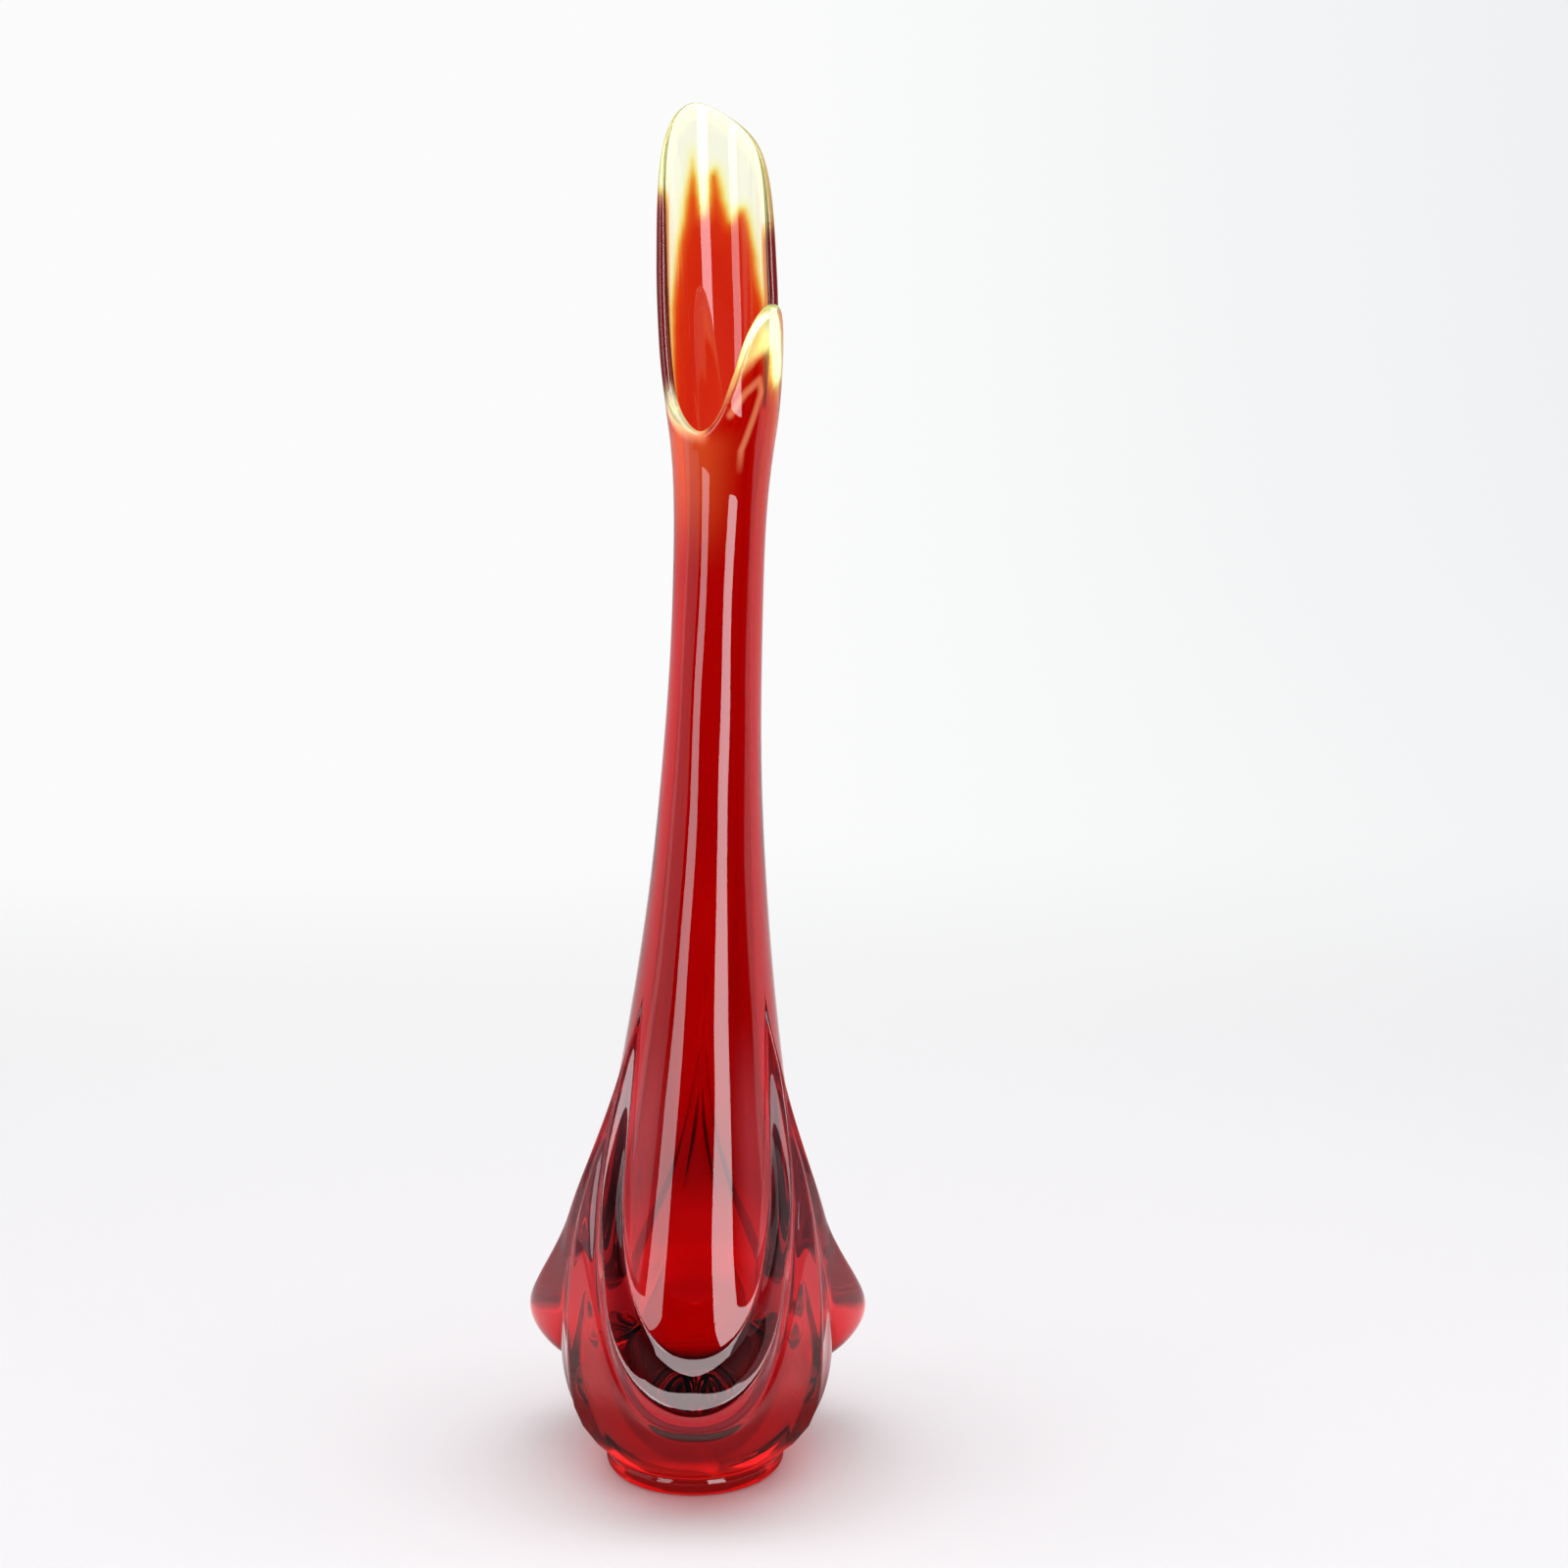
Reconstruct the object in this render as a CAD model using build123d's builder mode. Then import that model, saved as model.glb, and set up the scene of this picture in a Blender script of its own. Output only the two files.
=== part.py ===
from build123d import *
import os
from math import cos, exp, log, radians, sin, sqrt, tan

os.makedirs("parts", exist_ok=True)

# Swung glass vase. It is one gather of glass, worked in four zones from the table up:
# a pressed foot ring, a bulb with three hanging drapes, a long swung neck and a petalled mouth.
# Millimetres. The origin is the centre of the foot on the table, +Z is up, the first drape faces -Y.

# Foot ring
foot_height = 7.0
foot_radius = 34.0
foot_bore_radius = 25.0
foot_roll = 3.2
foot_bore_roll = 1.2

# Bulb, with heights measured from the table
bulb_height = 202.0
seat_radius = 33.2
belly_radius = 52.2
belly_height = 64.0
bulb_shift = 1.0
bulb_shift_climb = 14.0
shoulder_radius = 23.9
keel_rise = 3.0
keel_climb = 21.0
keel_top = 165.0

# Hanging drapes: lip, upward ledge behind it, smooth panel above and the crease under the lip.
# These lines lie lowest at a drape's middle and climb to the keels, where two drapes' arms meet.
drape_count = 3
lip_reach = 13.6
lip_height = 48.0
lip_run = 57.0
arm_rise = 1.3
arm_height = 110.0
arm_run = 80.0
arm_top = 155.0
ledge_height = 65.0
ledge_top_drop = 9.8
crease_height = 33.5
crease_top_drop = 1.4
crease_depth = 1.2
crease_width = 2.5
panel_radius = 48.0
panel_roundness = 1.2

# Well inside the bulb
well_floor = 44.0
well_radius = 31.6
well_roundness = 2.5
well_corner = 18.0
bulb_wall = 8.5
bulb_wall_height = 110.0

# Neck
neck_height = 186.0
waist_drop = 50.0
waist_radius = 16.3
collar_radius = 18.7
neck_wall = 4.3
neck_wall_rise = 81.0
neck_lean_angle = 2.18
lean_start = 95.0
lean_roundness = 8.0

# Mouth
mouth_height = 118.0
mouth_radius = 22.7
mouth_belly_rise = 54.0
tip_radius = 20.4
tip_wall = 2.2
mouth_sway_angle = 3.83
sway_rise = 7.0
sway_roundness = 6.0
cutter_overrun = 16.0

# Shares of a drape's half width where its ledge starts its last climb and where the keel starts,
# and the share of the ledge's climb that comes before that
ledge_late_share = 0.733
keel_start_share = 0.767
ledge_early_share = 0.714

# Share of the well's radius left flat on its floor
well_floor_share = 0.245

# Shares of the mouth's radius between which the rim is cut
rim_inner_share = 0.5
rim_outer_share = 1.5

# Fullness of the curves: 1 is a straight run and a higher power turns later and tighter
seat_power = 3.25
shoulder_power = 0.77
collar_power = 2.7
tip_power = 1.5
lip_power = 2
ledge_power = 2.4
crease_power = 3
under_power = 1.9
spacing_power = 1.6

# The rim unrolled flat, from the front dip once round the mouth: each point is a turn in degrees
# from the front and a share of the mouth's height. It climbs to a short front petal, drops into a
# notch, climbs the tall back petal and comes down the left side.
rim_shares = [
    (-26, 0.055),
    (-6, 0.10),
    (12, 0.22),
    (30, 0.35),
    (52, 0.42),
    (74, 0.42),
    (88, 0.35),
    (96, 0.19),
    (103, 0.10),
    (108, 0.21),
    (111, 0.50),
    (115, 0.74),
    (130, 0.87),
    (166, 0.96),
    (203, 1.0),
    (232, 0.94),
    (252, 0.79),
    (262, 0.55),
    (269, 0.34),
    (284, 0.17),
    (308, 0.09),
    (334, 0.055),
]

# Numbers of bands up each zone and of points along their edges
mantle_band_count = 10
under_band_count = 5
scoop_band_count = 8
panel_band_count = 5
drape_point_count = 10
well_band_count = 20
neck_band_count = 16
mouth_band_count = 16
rim_point_count = 96
roll_band_count = 3

# Heights of the zones' tops, of the waist and of the mouth's belly, and where the neck's wall has
# thinned and the mouth starts to sway
bulb_top = foot_height + bulb_height
neck_top = bulb_top + neck_height
mouth_top = neck_top + mouth_height
waist_height = neck_top - waist_drop
mouth_belly_height = neck_top + mouth_belly_rise
neck_wall_height = bulb_top + neck_wall_rise
sway_start = neck_top + sway_rise


def soft(distance, roundness):
    """Ramp that starts smoothly at 0."""
    return roundness * log(1 + exp(distance / roundness))


def ramp(value):
    return min(max(value, 0), 1)


def ease(value):
    share = ramp(value)
    return share * share * (3 - 2 * share)


def centre_x(height):
    """Place of the vase's leaning axis, seen from the front."""
    shift = bulb_shift * ramp((height - foot_height) / bulb_shift_climb)
    lean = tan(radians(neck_lean_angle)) * soft(height - lean_start, lean_roundness)
    sway = tan(radians(mouth_sway_angle)) * soft(height - sway_start, sway_roundness)
    return shift + lean - sway


def neck_radius(height):
    """The swung neck swells as a square below its waist and flares above it."""
    if height <= waist_height:
        share = (waist_height - height) / (waist_height - bulb_top)
        return waist_radius + (shoulder_radius - waist_radius) * share**2
    share = (height - waist_height) / (neck_top - waist_height)
    return waist_radius + (collar_radius - waist_radius) * share**collar_power


def mantle_radius(height):
    """Round body of the bulb between the drapes."""
    if height <= belly_height:
        share = (height - foot_height) / (belly_height - foot_height)
        return seat_radius + (belly_radius - seat_radius) * (1 - (1 - share) ** seat_power)
    neck = neck_radius(height)
    share = (height - belly_height) / (bulb_top - belly_height)
    return neck + (belly_radius - neck) * (1 - ease(share**shoulder_power))


def keel_at(share, height):
    """Low keel on the mantle halfway between two drapes."""
    keel = ramp((share - keel_start_share) / (1 - keel_start_share)) ** 2
    start = ramp((height - foot_height) / keel_climb)
    fade = ramp((keel_top - height) / (keel_top - bulb_wall_height))
    return keel_rise * keel * start * fade


def lip_radius(height):
    """Reach of the drape's rolled lip, which sinks into the mantle as its arms climb."""
    lip = lip_reach * (1 - ease((height - lip_height) / lip_run))
    arm = arm_rise * (1 - ease((height - arm_height) / arm_run))
    return mantle_radius(height) + lip + arm


def panel_face(height):
    """The neck's own curve, carried down inside the drape and turned upright."""
    return panel_radius - soft(panel_radius - neck_radius(height), panel_roundness)


def drape_lines(share):
    """Heights of a drape's crease, lip and ledge, at a share of the way out to the keel."""
    crease = crease_height + (arm_top - crease_top_drop - crease_height) * share**crease_power
    lip = lip_height + (arm_top - lip_height) * share**lip_power
    late = ramp((share - ledge_late_share) / (1 - ledge_late_share)) ** 2
    climb = ledge_early_share * share**ledge_power + (1 - ledge_early_share) * late
    ledge = ledge_height + (bulb_top - ledge_top_drop - ledge_height) * climb
    return crease, lip, ledge


def bulb_surface(share, height):
    """Outer radius of the bulb, at a share of the way out from a drape's middle to the keel."""
    crease, lip, ledge = drape_lines(share)
    if height > lip:
        back = 1 - ease((height - lip) / (ledge - lip))
        return panel_face(height) + (lip_radius(lip) - panel_face(lip)) * back
    arc = radians(180 / drape_count) * belly_radius
    climb = arm_top - crease_top_drop - crease_height
    slope = crease_power * climb * share ** (crease_power - 1) / arc
    off_crease = (height - crease) / sqrt(1 + slope**2)
    fade = ramp((lip - height) / (2 * crease_width))
    groove = crease_depth * fade * exp(-((off_crease / crease_width) ** 2))
    under = 1 - ramp((lip - height) / (lip - crease)) ** under_power
    rise = lip_radius(lip) - mantle_radius(lip) - keel_at(share, lip)
    return mantle_radius(height) + keel_at(share, height) - groove + rise * under


def bore_radius(height):
    """Inside of the neck and of the well under it."""
    share = ease((height - bulb_wall_height) / (neck_wall_height - bulb_wall_height))
    wall = bulb_wall + (neck_wall - bulb_wall) * share
    straight = well_radius - soft(well_radius - neck_radius(height) + wall, well_roundness)
    corner = 1 - (1 - ramp((height - well_floor) / well_corner)) ** 2
    return straight * sqrt(well_floor_share**2 * (1 - corner) + corner)


def mouth_outer_radius(height):
    """The mouth opens from the collar to its belly and draws in a little towards its tip."""
    if height <= mouth_belly_height:
        share = (height - neck_top) / (mouth_belly_height - neck_top)
        return mouth_radius - (mouth_radius - collar_radius) * (1 - share) ** 2
    share = (height - mouth_belly_height) / (mouth_top - mouth_belly_height)
    return mouth_radius - (mouth_radius - tip_radius) * share**tip_power


def mouth_wall_at(height):
    """The neck's wall goes on into the mouth and thins towards the tall petal's tip."""
    share = (height - mouth_belly_height) / (mouth_top - mouth_belly_height)
    return neck_wall - (neck_wall - tip_wall) * ease(share)


def on_ring(turn, radius, height):
    """Place at a turn from the front, on a level ring about the leaning axis."""
    return centre_x(height) + radius * sin(radians(turn)), -radius * cos(radians(turn))


def steps(start, end, count):
    return [start + (end - start) * index / count for index in range(count + 1)]


def ring_corner(corner_radius, roll, side):
    """Lower corner of the foot's profile, rolled in short straight bands."""
    turns = [radians(turn) for turn in steps(0, 90, roll_band_count)]
    return [(corner_radius + side * roll * (1 - sin(turn)), roll * (1 - cos(turn))) for turn in turns]


with BuildPart() as foot_ring:
    with BuildSketch(Plane.XZ):
        with BuildLine():
            Polyline(
                *reversed(ring_corner(foot_bore_radius, foot_bore_roll, 1)),
                *ring_corner(foot_radius, foot_roll, -1),
                (foot_radius, foot_height - foot_bore_roll),
                (seat_radius, foot_height),
                (foot_bore_radius, foot_height),
                close=True,
            )
        make_face()
    revolve(axis=Axis.Z)
foot_ring.part.label = "foot_ring"
export_step(foot_ring.part, "parts/foot_ring.step")


def bulb_levels(share):
    """Heights of the bulb's lines: those along the crease, lip and ledge and the ones between."""
    crease, lip, ledge = drape_lines(share)
    levels = [foot_height]
    for step in steps(0, 1, mantle_band_count)[1:]:
        levels.append(crease - (crease - foot_height) * (1 - step) ** spacing_power)
    for step in steps(0, 1, under_band_count)[1:]:
        levels.append(crease + (lip - crease) * step**spacing_power)
    return levels + steps(lip, ledge, scoop_band_count)[1:] + steps(ledge, bulb_top, panel_band_count)[1:]


def bulb_line(row):
    """One closed line round the bulb, with a like curve on each drape from keel to keel."""
    curves = []
    for drape in range(drape_count):
        points = []
        for side in steps(-1, 1, drape_point_count):
            height = bulb_levels(abs(side))[row]
            turn = (drape + side / 2) * 360 / drape_count
            x, y = on_ring(turn, bulb_surface(abs(side), height), height)
            points.append((x, y, height))
        curves.append(Edge.make_spline(points, parameters=steps(0, 1, drape_point_count)))
    return Wire(curves)


# Bulb: a skin over lines that follow the drapes, so that lip and crease stay clean edges
bulb_lines = [bulb_line(row) for row in range(len(bulb_levels(0)))]
with BuildPart() as draped_bulb:
    add(Solid.make_loft(bulb_lines, ruled=True))
    for share in steps(0, 1, well_band_count):
        height = well_floor + (bulb_top - well_floor) * share**spacing_power
        with BuildSketch(Plane.XY.offset(height)):
            with Locations((centre_x(height), 0)):
                Circle(bore_radius(height))
    loft(ruled=True, mode=Mode.SUBTRACT)
draped_bulb.part.label = "draped_bulb"
export_step(draped_bulb.part, "parts/draped_bulb.step")

with BuildPart() as neck:
    for height in steps(bulb_top, neck_top, neck_band_count):
        with BuildSketch(Plane.XY.offset(height)):
            with Locations((centre_x(height), 0)):
                Circle(neck_radius(height))
    loft(ruled=True)
    for height in steps(bulb_top, neck_top, neck_band_count):
        with BuildSketch(Plane.XY.offset(height)):
            with Locations((centre_x(height), 0)):
                Circle(bore_radius(height))
    loft(ruled=True, mode=Mode.SUBTRACT)
neck.part.label = "neck"
export_step(neck.part, "parts/neck.step")

arc_per_turn = radians(mouth_radius)
tube_top = mouth_top + cutter_overrun / 2
with BuildLine() as rim_line:
    rim = Spline([(turn * arc_per_turn, neck_top + share * mouth_height) for turn, share in rim_shares])


def rim_ring(radius, level=None):
    """Closed ring over the rim, or over its plan at one level."""
    points = []
    for share in steps(0, 1, rim_point_count)[:-1]:
        edge = rim @ share
        x, y = on_ring(edge.X / arc_per_turn, radius, edge.Y)
        points.append((x, y, level or edge.Y))
    return Edge.make_spline(points, periodic=True, parameters=steps(0, 360, rim_point_count))


# Mouth: a flared tube, cut along its rim by a cutter whose floor runs square to the wall
near_rim = rim_ring(mouth_radius * rim_inner_share)
far_rim = rim_ring(mouth_radius * rim_outer_share)
near_top = rim_ring(mouth_radius * rim_inner_share, mouth_top + cutter_overrun)
far_top = rim_ring(mouth_radius * rim_outer_share, mouth_top + cutter_overrun)
cutter_faces = [
    Face.make_surface_from_curves(near_rim, far_rim),
    Face.make_surface_from_curves(far_rim, far_top),
    Face.make_surface_from_curves(near_rim, near_top),
    Face(Wire([far_top]), [Wire([near_top])]),
]
with BuildPart() as mouth:
    for height in steps(neck_top, tube_top, mouth_band_count):
        with BuildSketch(Plane.XY.offset(height)):
            with Locations((centre_x(height), 0)):
                Circle(mouth_outer_radius(height))
    loft(ruled=True)
    for height in steps(neck_top, tube_top, mouth_band_count):
        with BuildSketch(Plane.XY.offset(height)):
            with Locations((centre_x(height), 0)):
                Circle(mouth_outer_radius(height) - mouth_wall_at(height))
    loft(ruled=True, mode=Mode.SUBTRACT)
    add(Solid(Shell(cutter_faces)), mode=Mode.SUBTRACT)
mouth.part.label = "mouth"
export_step(mouth.part, "parts/mouth.step")
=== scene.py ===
import math

import bpy
import numpy as np
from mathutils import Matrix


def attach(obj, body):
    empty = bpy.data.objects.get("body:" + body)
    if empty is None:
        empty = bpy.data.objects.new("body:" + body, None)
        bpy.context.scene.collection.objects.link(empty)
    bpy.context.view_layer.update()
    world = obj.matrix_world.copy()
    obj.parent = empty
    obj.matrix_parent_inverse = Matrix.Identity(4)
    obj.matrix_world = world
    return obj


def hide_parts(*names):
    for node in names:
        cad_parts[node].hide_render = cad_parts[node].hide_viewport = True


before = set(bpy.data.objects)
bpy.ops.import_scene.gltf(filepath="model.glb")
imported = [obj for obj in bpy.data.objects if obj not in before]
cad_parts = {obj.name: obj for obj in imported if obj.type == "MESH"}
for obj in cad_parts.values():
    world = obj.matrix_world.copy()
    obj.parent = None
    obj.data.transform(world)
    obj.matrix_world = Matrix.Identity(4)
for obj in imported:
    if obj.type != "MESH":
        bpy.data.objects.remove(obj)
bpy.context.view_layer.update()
print("frame loaded:", sorted(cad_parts))

mm = 0.001
scene = bpy.context.scene


# small curves shared by all zones
def ramp(value):
    # straight climb from 0 to 1, flat outside
    return np.clip(value, 0.0, 1.0)


def ease(value):
    # 3t^2 - 2t^3: leaves 0 and reaches 1 without a corner
    t = ramp(value)
    return t * t * (3 - 2 * t)


def softRamp(distance, roundness):
    # r ln(1 + e^(d/r)): zero well below 0, a straight slope well above it
    return roundness * np.logaddexp(0, distance / roundness)


# the same driving sizes as the solids, in millimetres
body = dict(
    footHeight=7.0, footRadius=34.0, footBore=25.0, footRoll=3.2, footBoreRoll=1.2,
    seatRadius=33.2, bellyRadius=52.2, bellyHeight=64.0, bulbTop=209.0,
    bulbShift=1.0, shiftClimb=14.0, shoulderRadius=23.9,
    ribRise=3.0, ribClimb=21.0, ribFade=165.0, ribStart=0.767,
    waistHeight=345.0, waistRadius=16.3, neckTop=395.0, collarRadius=18.7,
    neckWall=4.3, neckWallHeight=290.0, bulbWall=8.5,
    leanAngle=2.18, leanStart=95.0, leanRoundness=8.0,
    swayAngle=3.83, swayStart=402.0, swayRoundness=6.0,
    wellFloor=44.0, wellRadius=31.6, wellRoundness=2.5, wellCorner=18.0, wellFloorShare=0.245,
    panelRadius=48.0, panelRoundness=1.2,
    # fullness of the curves: 1 is a straight run, and a higher power turns later and tighter
    seatPower=3.25, shoulderPower=0.77, collarPower=2.7,
)
drape = dict(
    count=3, lipReach=13.6, lipHeight=48.0, lipRun=57.0, lipClimb=107.0,
    armRise=1.3, armHeight=110.0, armRun=80.0,
    ledgeHeight=65.0, ledgeClimb=95.8, ledgeFadeClimb=38.4, ledgeFadeShare=0.733,
    creaseHeight=33.5, creaseClimb=120.1, creaseDepth=1.2, creaseWidth=2.5,
    lipPower=2, ledgePower=2.4, creasePower=3, underPower=1.9,
)
mouth = dict(
    radius=22.7, bellyHeight=449.0, top=513.0, tipRadius=20.4, tipWall=2.2, tipPower=1.5,
    # the rim unrolled: turn from the front in degrees, share of the mouth's height
    rim=[(-26, .055), (-6, .10), (12, .22), (30, .35), (52, .42), (74, .42), (88, .35), (96, .19),
         (103, .10), (108, .21), (111, .50), (115, .74), (130, .87), (166, .96), (203, 1.0),
         (232, .94), (252, .79), (262, .55), (269, .34), (284, .17), (308, .09), (334, .055)],
)
# how the surface is divided; a crowding power packs rows to one end of their zone
grid = dict(
    columns=324, mantleRows=26, underRows=12, scoopRows=24, panelRows=16, neckRows=22,
    mouthRows=46, rimRows=9, innerMouthRows=26, innerNeckRows=20, wellRows=24,
    boreRollRows=5, footRollRows=9, rimSamples=4000,
    mantleCrowding=1.6, underCrowding=1.4, wellCrowding=1.6,
    # share of the way to its place on the rim that a column leans in the neck, and the power of the rest
    leanShare=0.45, leanPower=1.5,
)
# rings drawn, in millimetres
rings = dict(
    recess=(1.5, 8, 16, 22, 24),
    recessEdge=[(-.3, -.1), (0, -.6)],              # out from the recess's radius, up from its floor
    boreMiddle=4,
    seat=[(.05, 4.5), (-.05, 5.9), (-.45, 6.6)],    # out from the foot's radius, height
    well=[(5.0, .35), (2.4, .55), (0.8, .6)],       # radius, drop below the well's floor
)
# hand-worked unevenness: waves round the glass, millimetres up it for a radian, start, strength
ripples = dict(depth=0.09, low=20, climb=30,
               waves=[(2, 31, 0.0, 1.0), (3, -19, 1.3, 0.7), (5, 13, 0.4, 0.5)])


def centreX(z):
    # bulb shift + neck lean - mouth sway; the lean and the sway start softly, each at its own height
    shift = body["bulbShift"] * ramp((z - body["footHeight"]) / body["shiftClimb"])
    lean = math.tan(math.radians(body["leanAngle"])) * softRamp(z - body["leanStart"], body["leanRoundness"])
    sway = math.tan(math.radians(body["swayAngle"])) * softRamp(z - body["swayStart"], body["swayRoundness"])
    return shift + lean - sway


def neckRadius(z):
    # waist + a square swell below it + a flare above it, by the collar's power
    below = np.maximum((body["waistHeight"] - z) / (body["waistHeight"] - body["bulbTop"]), 0)
    above = ramp((z - body["waistHeight"]) / (body["neckTop"] - body["waistHeight"]))
    swell = (body["shoulderRadius"] - body["waistRadius"]) * below**2
    flare = (body["collarRadius"] - body["waistRadius"]) * above ** body["collarPower"]
    return body["waistRadius"] + swell + flare


def mantleRadius(z):
    # seat to belly as 1 - (1 - t)^power, then an eased draw-in to the neck's own curve
    low = ramp((z - body["footHeight"]) / (body["bellyHeight"] - body["footHeight"]))
    swell = 1 - (1 - low) ** body["seatPower"]
    lower = body["seatRadius"] + (body["bellyRadius"] - body["seatRadius"]) * swell
    high = ramp((z - body["bellyHeight"]) / (body["bulbTop"] - body["bellyHeight"]))
    neck = neckRadius(z)
    upper = neck + (body["bellyRadius"] - neck) * (1 - ease(high ** body["shoulderPower"]))
    return np.where(z <= body["bellyHeight"], lower, upper)


def rib(share, z):
    # low keel between two drapes: a square rise over the last quarter of the way to it
    keel = ramp((share - body["ribStart"]) / (1 - body["ribStart"])) ** 2
    fade = ramp((body["ribFade"] - z) / (body["ribFade"] - drape["armHeight"]))
    return body["ribRise"] * keel * ramp((z - body["footHeight"]) / body["ribClimb"]) * fade


def lipRadius(z):
    # mantle + the lip's reach, fading as the arms climb
    lip = drape["lipReach"] * (1 - ease((z - drape["lipHeight"]) / drape["lipRun"]))
    arm = drape["armRise"] * (1 - ease((z - drape["armHeight"]) / drape["armRun"]))
    return mantleRadius(z) + lip + arm


def panelFace(z):
    # the neck's curve carried down, turned upright at the panel's radius
    return body["panelRadius"] - softRamp(body["panelRadius"] - neckRadius(z), body["panelRoundness"])


def drapeShare(turn):
    # 0 at a drape's middle, 1 at the keels beside it
    half = 180 / drape["count"]
    return np.abs((turn + half) % (2 * half) - half) / half


def drapeLines(share):
    # heights of crease, lip and ledge at a share of the way from a drape's middle to its keel
    crease = drape["creaseHeight"] + drape["creaseClimb"] * share ** drape["creasePower"]
    lip = drape["lipHeight"] + drape["lipClimb"] * share ** drape["lipPower"]
    fade = np.maximum(share - drape["ledgeFadeShare"], 0) / (1 - drape["ledgeFadeShare"])
    climb = drape["ledgeClimb"] * share ** drape["ledgePower"] + drape["ledgeFadeClimb"] * fade**2
    return crease, lip, drape["ledgeHeight"] + climb


def bulbSurface(share, z):
    # above the lip: panel + eased ledge; below it: mantle + rib + rising underside - crease groove
    crease, lip, ledge = drapeLines(share)
    back = 1 - ease((z - lip) / (ledge - lip))
    above = panelFace(z) + (lipRadius(lip) - panelFace(lip)) * back
    arc = math.radians(180 / drape["count"]) * body["bellyRadius"]
    slope = drape["creasePower"] * drape["creaseClimb"] * share ** (drape["creasePower"] - 1) / arc
    offCrease = (z - crease) / np.sqrt(1 + slope**2)
    groove = drape["creaseDepth"] * ramp((lip - z) / (2 * drape["creaseWidth"]))
    groove = groove * np.exp(-((offCrease / drape["creaseWidth"]) ** 2))
    under = 1 - ramp((lip - z) / (lip - crease)) ** drape["underPower"]
    rise = lipRadius(lip) - mantleRadius(lip) - rib(share, lip)
    below = mantleRadius(z) + rib(share, z) - groove + rise * under
    return np.where(z > lip, above, below)


def boreRadius(z):
    # neck curve less the wall, capped at the well's radius, rounded into its floor
    wall = body["bulbWall"] + (body["neckWall"] - body["bulbWall"]) * ease(
        (z - drape["armHeight"]) / (body["neckWallHeight"] - drape["armHeight"]))
    over = softRamp(body["wellRadius"] - neckRadius(z) + wall, body["wellRoundness"])
    corner = 1 - (1 - ramp((z - body["wellFloor"]) / body["wellCorner"])) ** 2
    return (body["wellRadius"] - over) * np.sqrt(body["wellFloorShare"] ** 2 * (1 - corner) + corner)


def mouthRadius(z):
    # opens as a square from the collar to the belly, draws in by the tip's power above it
    low = 1 - ramp((z - body["neckTop"]) / (mouth["bellyHeight"] - body["neckTop"]))
    high = ramp((z - mouth["bellyHeight"]) / (mouth["top"] - mouth["bellyHeight"]))
    return (mouth["radius"] - (mouth["radius"] - body["collarRadius"]) * low**2
            - (mouth["radius"] - mouth["tipRadius"]) * high ** mouth["tipPower"])


def wallAt(z):
    # the neck's wall up to the mouth's belly, easing to the tip's above it
    share = (z - mouth["bellyHeight"]) / (mouth["top"] - mouth["bellyHeight"])
    return body["neckWall"] - (body["neckWall"] - mouth["tipWall"]) * ease(share)


def smoothThrough(points, count):
    # natural parameter = running chord length; cubic through the points with Catmull-Rom slopes,
    # then resampled at even lengths. Two points are repeated past each end, so that the line closes
    line = np.array(points, float)
    wrap = np.array([360.0, 0.0])
    ring = np.vstack([line[-3:-1] - wrap, line, line[1:3] + wrap])
    unrolled = np.array([math.radians(mouth["radius"]), mouth["top"] - body["neckTop"]])
    knots = np.concatenate([[0], np.cumsum(np.hypot(*np.diff(ring * unrolled, axis=0).T))])
    slopes = (ring[2:] - ring[:-2]) / (knots[2:] - knots[:-2])[:, None]
    fine = np.linspace(knots[2], knots[-3], grid["rimSamples"])
    left = np.clip(np.searchsorted(knots, fine, side="right") - 1, 2, len(knots) - 4)
    gap = knots[left + 1] - knots[left]
    t = ((fine - knots[left]) / gap)[:, None]
    gap = gap[:, None]
    curve = ((2 * t**3 - 3 * t**2 + 1) * ring[left] + (t**3 - 2 * t**2 + t) * gap * slopes[left - 1]
             + (-2 * t**3 + 3 * t**2) * ring[left + 1] + (t**3 - t**2) * gap * slopes[left])
    run = np.concatenate([[0], np.cumsum(np.hypot(*np.diff(curve * unrolled, axis=0).T))])
    even = np.linspace(0, run[-1], count + 1)[:-1]
    return np.stack([np.interp(even, run, curve[:, k]) for k in range(2)], 1)


def rimLines():
    # the rim unrolled, in millimetres: its arc and height at each column, the way out of the glass
    # there, half the wall, and the arc of one degree
    columns = grid["columns"]
    perDegree = math.radians(mouth["radius"])
    rim = smoothThrough(mouth["rim"], columns)
    arc = rim[:, 0] * perDegree
    height = body["neckTop"] + rim[:, 1] * (mouth["top"] - body["neckTop"])
    lap = 360 * perDegree
    ahead = np.stack([np.roll(arc, -1) + lap * (np.arange(columns) == columns - 1), np.roll(height, -1)], 1)
    behind = np.stack([np.roll(arc, 1) - lap * (np.arange(columns) == 0), np.roll(height, 1)], 1)
    along = ahead - behind
    along /= np.hypot(*along.T)[:, None]
    outward = np.stack([-along[:, 1], along[:, 0]], 1)   # along turned a quarter: up out of the glass
    half = wallAt(height) / 2
    return arc, height, outward, half, perDegree


def place(turn, radius, z):
    # ring point about the leaning axis, turn from the front towards the right
    angle = np.radians(turn)
    return np.stack([centreX(z) + radius * np.sin(angle), -radius * np.cos(angle), z], -1)


def ripple(turn, z):
    # a few slow waves round and up the glass, under a fifth of a millimetre in all
    angle = np.radians(turn)
    wave = sum(strength * np.sin(count * angle + z / rise + start)
               for count, rise, start, strength in ripples["waves"])
    return ripples["depth"] * wave * ramp((z - ripples["low"]) / ripples["climb"])


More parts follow.
